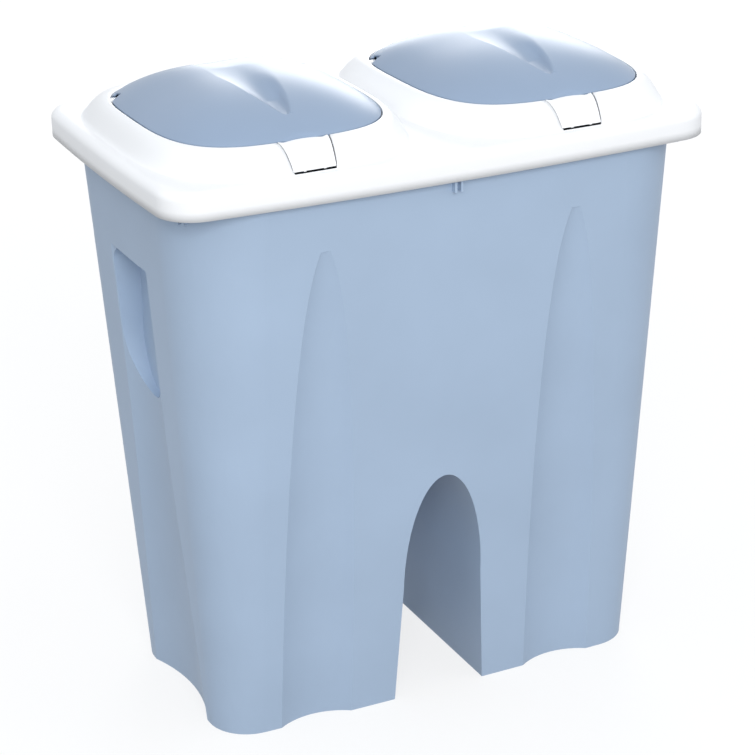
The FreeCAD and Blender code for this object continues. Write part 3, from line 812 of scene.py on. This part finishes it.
    def open_for_button(self, form: bmesh.types.BMesh, rings: list[list[bmesh.types.BMVert]]) -> None:
        """Takes the border away where the button sits.

        Args:
            form: the lid's mesh.
            rings: the border's rings, from the foot inwards.
        """
        over = {vert for ring in rings for vert in ring[:PLAN.button_columns + 1]}
        faces = [face for face in form.faces if all(vert in over for vert in face.verts)]
        bmesh.ops.delete(form, geom=faces, context="FACES")

    def add_ears(self) -> None:
        """Adds the ears that hold the hinge pins."""
        form = bmesh.new()
        for side in Side:
            for hand in Side:
                low, high = sorted(side.value * DOME_X + hand.value * x for x in self.ear_x)
                add_block(form, (low, HINGE_Y - self.ear_half_y, self.ear_z[0]),
                          (high, HINGE_Y + self.ear_half_y, self.ear_z[1]), self.ear_round)
        ears = new_object("lid_hinge_ears", form, self.finishes.lid, Smoothing.BY_ANGLE)
        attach(ears, "lid")
        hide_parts("lid_frame")

    def add_cheeks(self) -> None:
        """Adds the cheeks that hold each button's pin, and the bar that its spring pushes on."""
        form = bmesh.new()
        for side in Side:
            middle = side.value * DOME_X
            for hand in Side:
                low, high = sorted(middle + hand.value * x for x in self.cheek_x)
                add_block(form, (low, self.cheek_y[0], self.cheek_z[0]),
                          (high, self.cheek_y[1], self.cheek_z[1]), self.cheek_round)
            reach = self.cheek_x[1] - self.bar_short
            add_block(form, (middle - reach, self.bar_y[0], self.cheek_z[0] + STEP_BACK),
                      (middle + reach, self.bar_y[1], self.bar_top), self.bar_round)
        cheeks = new_object("lid_latch_cheeks", form, self.finishes.lid, Smoothing.BY_ANGLE)
        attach(cheeks, "lid")
        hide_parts("lid_frame")


# ---------------------------------------------------------------- flaps


@dataclass
class PopUpFlap:
    """A domed flap with a channel that runs back from a pointed tip behind the latch."""

    side: Side
    finishes: Finishes
    rise: float = 28.4
    crown: float = 2.4
    crown_fall: float = 0.9
    wall: float = 2.2
    lip: float = 5.0
    lip_round: float = 1.0
    lip_turns: Triple = (0.35, 0.75, 1.0)
    lip_lean: float = 0.1
    cells_across: int = 168
    cells_along: int = 180
    crease_cell: float = -0.12
    crease_steps: int = 100
    channel_depth: float = 11.0
    channel_back: float = 0.8
    channel_level_at: float = 12.0
    channel_bed: float = 0.46
    channel_slope: float = 0.5
    channel_half: float = 25.0
    channel_tip: float = 107.0
    channel_run: float = 95.0
    channel_wall: Point = (0.72, 0.95)
    channel_softens: Point = (-85.0, -30.0)
    notch_x: float = 91.3
    notch_y: Point = (59.4, 74.6)
    notch_near: float = 4.0
    notch_snap: float = 1e-6
    moon_half: float = 17.0
    moon_reach: float = 6.0
    moon_drop: float = 2.6
    lug_x: Point = (84.0, 90.5)
    lug_radius: float = 5.5
    web_half_y: float = 4.0
    web_top: float = 569.5
    web_round: float = 0.4
    tongue_half: float = 6.5
    tongue_y: Point = (-127.2, -124.8)
    tongue_z: Point = (543.1, 566.4)
    tongue_round: float = 0.4
    barb_back: float = -123.3
    barb_height: float = 3.0
    barb_round: float = 0.5

    def build(self) -> None:
        """Builds the flap in place of its CAD node."""
        form = bmesh.new()
        bmesh.ops.create_grid(form, x_segments=self.cells_across, y_segments=self.cells_along, size=1.0)
        crease = self.crease_line()
        for vert in form.verts:
            vert.co = self.skin_point(vert.co.x, vert.co.y, crease) * MM
        self.add_lip(form)
        self.cut_notches(form)
        turn_upwards(form)
        bmesh.ops.translate(form, vec=Vector((self.side.value * DOME_X * MM, 0, 0)), verts=form.verts)
        flap = new_object(self.side.word + "_flap_skin", form, self.finishes.flap, Smoothing.BY_ANGLE)
        add_wall(flap, self.wall, even=False)
        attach(flap, self.side.word + "_flap")
        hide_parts(self.side.word + "_flap")
        self.add_inner_parts()

    def add_inner_parts(self) -> None:
        """Adds the hinge lugs and the catch tongue under the skin."""
        form = bmesh.new()
        middle = self.side.value * DOME_X
        for hand in Side:
            low, high = sorted(middle + hand.value * x for x in self.lug_x)
            add_rod(form, self.lug_radius, (low, high), HINGE_Y, HINGE_Z)
            add_block(form, (low + STEP_BACK, HINGE_Y - self.web_half_y, HINGE_Z),
                      (high - STEP_BACK, HINGE_Y + self.web_half_y, self.web_top), self.web_round)
        low, high = middle - self.tongue_half, middle + self.tongue_half
        front, back = self.tongue_y
        bottom, top = self.tongue_z
        add_block(form, (low, front, bottom), (high, back, top), self.tongue_round)
        add_block(form, (low + STEP_BACK, front + STEP_BACK, bottom - STEP_BACK),
                  (high - STEP_BACK, self.barb_back, bottom + self.barb_height), self.barb_round)
        inner = new_object(self.side.word + "_flap_lugs", form, self.finishes.flap, Smoothing.BY_ANGLE)
        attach(inner, self.side.word + "_flap")
        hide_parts(self.side.word + "_flap")

    def crease_line(self) -> list[Point]:
        """Follows the channel's sharp left edge from its tip to the back.

        Returns:
            Its (row, column) places in the square grid.
        """
        line = []
        for step in range(self.crease_steps + 1):
            along = -self.channel_tip + (PLAN.edge_back + self.channel_tip) * step / self.crease_steps
            across = -self.half_at(along)
            length = PLAN.edge_front if along < 0 else PLAN.edge_back
            u = across / PLAN.edge_half_x
            v = along / length
            reach = (abs(u) ** PLAN.power + abs(v) ** PLAN.power) ** (1 / PLAN.power)
            scale = reach / max(abs(u), abs(v), TINY)
            line.append((v * scale, u * scale))
        return line

    def half_at(self, along: float) -> float:
        """Half width of the channel at a place along the flap."""
        run = (along + self.channel_tip) / self.channel_run
        return self.channel_half * math.sqrt(min(1.0, max(0.0, run)))

    def skin_point(self, column: float, row: float, crease: list[Point]) -> Vector:
        """Place of a grid vertex on the flap's skin.

        Args:
            column: -1 at the left to 1 at the right.
            row: -1 at the front to 1 at the back.
            crease: the channel's left edge, which one column follows.

        Returns:
            The point in millimetres, with the dome's middle at X = 0.
        """
        edge = self.crease_column(row, crease)
        if column <= self.crease_cell:
            u = -1 + (column + 1) * (edge + 1) / (self.crease_cell + 1)
        else:
            u = edge + (column - self.crease_cell) * (1 - edge) / (1 - self.crease_cell)
        size = max(abs(u), abs(row), TINY)
        norm = (abs(u) ** PLAN.power + abs(row) ** PLAN.power) ** (1 / PLAN.power)
        scale = size / max(norm, TINY)
        length = PLAN.edge_front if row < 0 else PLAN.edge_back
        across = u * scale * PLAN.edge_half_x
        along = row * scale * length
        z = PLAN.height(1.0) + self.rise * (1 - min(1.0, size) ** self.crown) ** self.crown_fall
        from_edge = (1 - size) * PLAN.edge_front if row < 0 else PLAN.edge_front
        moon = max(0.0, 1 - (across / self.moon_half) ** 2 - from_edge / self.moon_reach)
        z -= self.channel_at(across, along) + self.moon_drop * moon
        return Vector((across, PLAN.centre_y + along + moon, z))

    def crease_column(self, row: float, crease: list[Point]) -> float:
        """Column that the channel's left edge takes in a row.

        Args:
            row: -1 at the front to 1 at the back.
            crease: the edge's (row, column) places, from the front.

        Returns:
            The column, -1 at the left to 1 at the right.
        """
        if row <= crease[0][0]:
            return crease[0][1]
        for (row_a, col_a), (row_b, col_b) in zip(crease, crease[1:]):
            if row <= row_b:
                return col_a + (col_b - col_a) * (row - row_a) / max(row_b - row_a, TINY)
        return crease[-1][1]

    def channel_at(self, across: float, along: float) -> float:
        """Depth of the channel: it falls from a sharp crease on its left and fades out to the right.

        The right wall is steep near the pointed tip only.

        Args:
            across: distance right of the dome's middle.
            along: distance behind the dome's widest line.

        Returns:
            The depth in millimetres.
        """
        half = self.half_at(along)
        if half <= 0 or abs(across) >= half:
            return 0.0
        place = (across / half + 1) / 2
        back_share = (along + self.channel_tip) / (self.channel_level_at + self.channel_tip)
        deepest = self.channel_depth + (self.channel_back - self.channel_depth) * min(1.0, back_share)
        deepest = min(deepest, self.channel_slope * half)
        fall = math.sin(math.pi / 2 * min(1.0, place / self.channel_bed))
        soft = 1 - ease(self.channel_bed, 1.0, place)
        steep = 1 - ease(*self.channel_wall, place)
        share = ease(*self.channel_softens, along)
        return deepest * fall * (steep + (soft - steep) * share)

    def add_lip(self, form: bmesh.types.BMesh) -> None:
        """Turns the skin's edge down into a lip.

        Args:
            form: the flap's mesh.
        """
        for turn in self.lip_turns:
            self.drop_edge(form, self.lip_round * turn * self.lip_lean, self.lip_round * turn ** 2)
        self.drop_edge(form, 0.0, self.lip - self.lip_round)

    def drop_edge(self, form: bmesh.types.BMesh, inwards: float, down: float) -> None:
        """Extrudes the open edge once.

        Args:
            form: the flap's mesh.
            inwards: shift towards the middle, in millimetres.
            down: shift downwards, in millimetres.
        """
        edges = [edge for edge in form.edges if edge.is_boundary]
        made = bmesh.ops.extrude_edge_only(form, edges=edges)["geom"]
        middle = Vector((0.0, PLAN.centre_y * MM, 0.0))
        for vert in [item for item in made if isinstance(item, bmesh.types.BMVert)]:
            away = (vert.co - middle).xy.normalized()
            vert.co -= Vector((away.x * inwards, away.y * inwards, down)) * MM

    def cut_notches(self, form: bmesh.types.BMesh) -> None:
        """Cuts the two notches that the lid's hinge ears stand in.

        Args:
            form: the flap's mesh.
        """
        for hand in Side:
            planes = [((hand.value * self.notch_x, 0, 0), (1, 0, 0))]
            planes += [((0, y, 0), (0, 1, 0)) for y in self.notch_y]
            for place, normal in planes:
                near = [face for face in form.faces if self.is_near_notch(face, hand)]
                edges = list({edge for face in near for edge in face.edges})
                verts = list({vert for face in near for vert in face.verts})
                bmesh.ops.bisect_plane(form, geom=near + edges + verts, dist=self.notch_snap,
                                       plane_co=Vector(place) * MM, plane_no=normal)
        gone = [face for face in form.faces if self.is_in_notch(face)]
        bmesh.ops.delete(form, geom=gone, context="FACES")

    def is_near_notch(self, face: bmesh.types.BMFace, hand: Side) -> bool:
        """Tells whether a notch's edges may cross a face.

        Args:
            face: the face.
            hand: the notch's side of the flap.

        Returns:
            True if they may.
        """
        place = face.calc_center_median() / MM
        front, back = self.notch_y
        beside = hand.value * place.x > self.notch_x - self.notch_near
        return beside and front - self.notch_near < place.y < back + self.notch_near

    def is_in_notch(self, face: bmesh.types.BMFace) -> bool:
        """True for faces inside a notch."""
        place = face.calc_center_median() / MM
        return abs(place.x) > self.notch_x and self.notch_y[0] < place.y < self.notch_y[1]


# ---------------------------------------------------------------- latch


@dataclass
class PressButton:
    """The latch's button: a shaped plate flush with the border, with a finger dish at its top."""

    side: Side
    finishes: Finishes
    gap: float = 1.2
    low_share: float = 0.05
    top_share: float = 0.965
    wall: float = 2.4
    edge_round: float = 0.5
    edge_segments: int = 2
    edge_sharper_than_deg: float = 50.0
    steps: int = 60
    columns: int = 60
    proud: float = 0.5
    moon_rows: Point = (0.8, 1.0)
    moon_half: float = 17.0
    moon_depth: float = 1.0
    moon_rise: float = 0.9
    dish_half: float = 22.0
    dish_reach: float = 0.2
    dish_depth: float = 0.9
    dish_fade: Point = (0.0, 0.3)
    pivot_y: float = -134.5
    pivot_z: float = 559.0
    knuckle_radius: float = 3.2
    knuckle_x: Point = (10.0, 17.0)
    web_y: Point = (-137.6, -133.0)
    web_top: float = 564.2
    rail_x: Point = (8.0, 10.5)
    rail_y: Point = (-154.2, -120.0)
    rail_z: Point = (546.4, 549.0)
    catch_front: float = -123.0
    catch_short: float = 0.2
    catch_round: float = 0.3

    def build(self) -> None:
        """Builds the button in place of its CAD node."""
        form = bmesh.new()
        bmesh.ops.create_grid(form, x_segments=self.columns, y_segments=self.steps, size=1.0)
        for vert in form.verts:
            vert.co = self.plate_point(vert.co.x, (vert.co.y + 1) / 2) * MM
        turn_upwards(form)
        bmesh.ops.translate(form, vec=Vector((self.side.value * DOME_X * MM, 0, 0)), verts=form.verts)
        plate = new_object(self.side.word + "_button_plate", form, self.finishes.button, Smoothing.BY_ANGLE)
        add_wall(plate, self.wall)
        rounding = plate.modifiers.new("soft_edges", "BEVEL")
        rounding.width = self.edge_round * MM
        rounding.segments = self.edge_segments
        rounding.limit_method = "ANGLE"
        rounding.angle_limit = math.radians(self.edge_sharper_than_deg)
        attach(plate, self.side.word + "_latch_button")
        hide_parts(self.side.word + "_latch_button")
        self.add_catch()

    def add_catch(self) -> None:
        """Adds the knuckles on the pin and the frame whose bar holds the flap's barb."""
        form = bmesh.new()
        middle = self.side.value * DOME_X
        for hand in Side:
            low, high = sorted(middle + hand.value * x for x in self.knuckle_x)
            add_rod(form, self.knuckle_radius, (low, high), self.pivot_y, self.pivot_z)
            add_block(form, (low + STEP_BACK, self.web_y[0], self.pivot_z),
                      (high - STEP_BACK, self.web_y[1], self.web_top), self.catch_round)
            low, high = sorted(middle + hand.value * x for x in self.rail_x)
            add_block(form, (low, self.rail_y[0], self.rail_z[0]),
                      (high, self.rail_y[1], self.rail_z[1]), self.catch_round)
        reach = self.rail_x[1] - self.catch_short
        add_block(form, (middle - reach, self.catch_front, self.rail_z[0] + STEP_BACK),
                  (middle + reach, self.rail_y[1] - STEP_BACK, self.rail_z[1] - STEP_BACK), self.catch_round)
        catch = new_object(self.side.word + "_button_catch", form, self.finishes.button, Smoothing.BY_ANGLE)
        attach(catch, self.side.word + "_latch_button")
        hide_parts(self.side.word + "_latch_button")

    def plate_point(self, column: float, row: float) -> Vector:
        """Place of a grid vertex on the plate.

        Args:
            column: -1 at the left to 1 at the right.
            row: 0 at the dome's foot to 1 at the flap's edge.

        Returns:
            The point in millimetres, with the dome's middle at X = 0.
        """
        share = self.low_share + (self.top_share - self.low_share) * row
        across = column * (PLAN.button_half(share) - self.gap)
        front = PLAN.between(PLAN.foot_front, PLAN.edge_front, share)
        place = PLAN.point(share, math.atan2(across, front))
        moon = max(0.0, 1 - (across / self.moon_half) ** 2) * ease(*self.moon_rows, row)
        crown = self.proud * (1 - column ** 4) * (1 - (2 * row - 1) ** 6)
        inside = 1 - (across / self.dish_half) ** 2 - ((1 - row) / self.dish_reach) ** 2
        dish = ease(*self.dish_fade, inside)
        z = place.z + crown - self.dish_depth * dish + self.moon_rise * moon
        return Vector((across, place.y + self.moon_depth * moon, z))


@dataclass
class Coil:
    """A wire coil about an axis."""

    name: str
    body: str
    node: str
    material: bpy.types.Material
    centre: Vector
    axis: Vector
    radius: float
    wire: float
    length: float
    turns: int
    steps_per_turn: int = 24
    wire_sides: int = 10

    def build(self) -> None:
        """Spins the wire's section into a coil in place of its plain sleeve."""
        form = bmesh.new()
        across = self.axis.orthogonal().normalized()
        section = self.wire / 2 * MM
        ring = bmesh.ops.create_circle(form, segments=self.wire_sides, radius=section)["verts"]
        turn = self.axis.cross(across).to_track_quat("Z", "Y").to_matrix().to_4x4()
        start = (self.centre + across * self.radius) * MM
        bmesh.ops.transform(form, matrix=Matrix.Translation(start) @ turn, verts=ring)
        steps = self.turns * self.steps_per_turn
        climb = self.axis * (self.length / steps * MM)
        bmesh.ops.spin(form, geom=list(form.verts) + list(form.edges), cent=self.centre * MM,
                       axis=self.axis, dvec=climb, angle=2 * math.pi * self.turns, steps=steps,
                       use_merge=False)
        ends = [edge for edge in form.edges if edge.is_boundary]
        bmesh.ops.holes_fill(form, edges=ends, sides=self.wire_sides)
        bmesh.ops.recalc_face_normals(form, faces=form.faces)
        coil = new_object(self.name, form, self.material, Smoothing.SMOOTH)
        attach(coil, self.body)
        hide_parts(self.node)


@dataclass
class DomeHardware:
    """Pins and springs of one dome."""

    side: Side
    finishes: Finishes
    spring_x: Point = (72.3, 83.1)
    spring_radius: float = 2.9
    spring_wire: float = 1.15
    spring_turns: int = 8
    push_y: float = -135.7
    push_z: float = 553.6
    push_radius: float = 1.5
    push_wire: float = 0.5
    push_length: float = 4.0
    push_turns: int = 5

    def build(self) -> None:
        """Dresses the pins and builds the coils."""
        word = self.side.word
        middle = self.side.value * DOME_X
        dress(word + "_hinge_pins", self.finishes.pin)
        dress(word + "_button_pin", self.finishes.pin)
        for hand in Side:
            start = min(hand.value * x for x in self.spring_x)
            Coil(f"{word}_flap_spring_{hand.word}", "lid", word + "_flap_springs", self.finishes.spring,
                 Vector((middle + start, HINGE_Y, HINGE_Z)), Vector((1, 0, 0)), self.spring_radius,
                 self.spring_wire, self.spring_x[1] - self.spring_x[0], self.spring_turns).build()
        Coil(word + "_button_coil", "lid", word + "_button_spring", self.finishes.spring,
             Vector((middle, self.push_y, self.push_z)), Vector((0, -1, 0)), self.push_radius,
             self.push_wire, self.push_length, self.push_turns).build()


def main() -> None:
    """Builds the bin's looks in order."""
    logging.basicConfig(level=logging.INFO, format="%(name)s: %(message)s")
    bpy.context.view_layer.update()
    finishes = Finishes()
    Tub(finishes).dress()
    DomedLid(finishes).build()
    for side in Side:
        PopUpFlap(side, finishes).build()
        PressButton(side, finishes).build()
        DomeHardware(side, finishes).build()
    Studio().build()


if __name__ == "__main__":
    main()
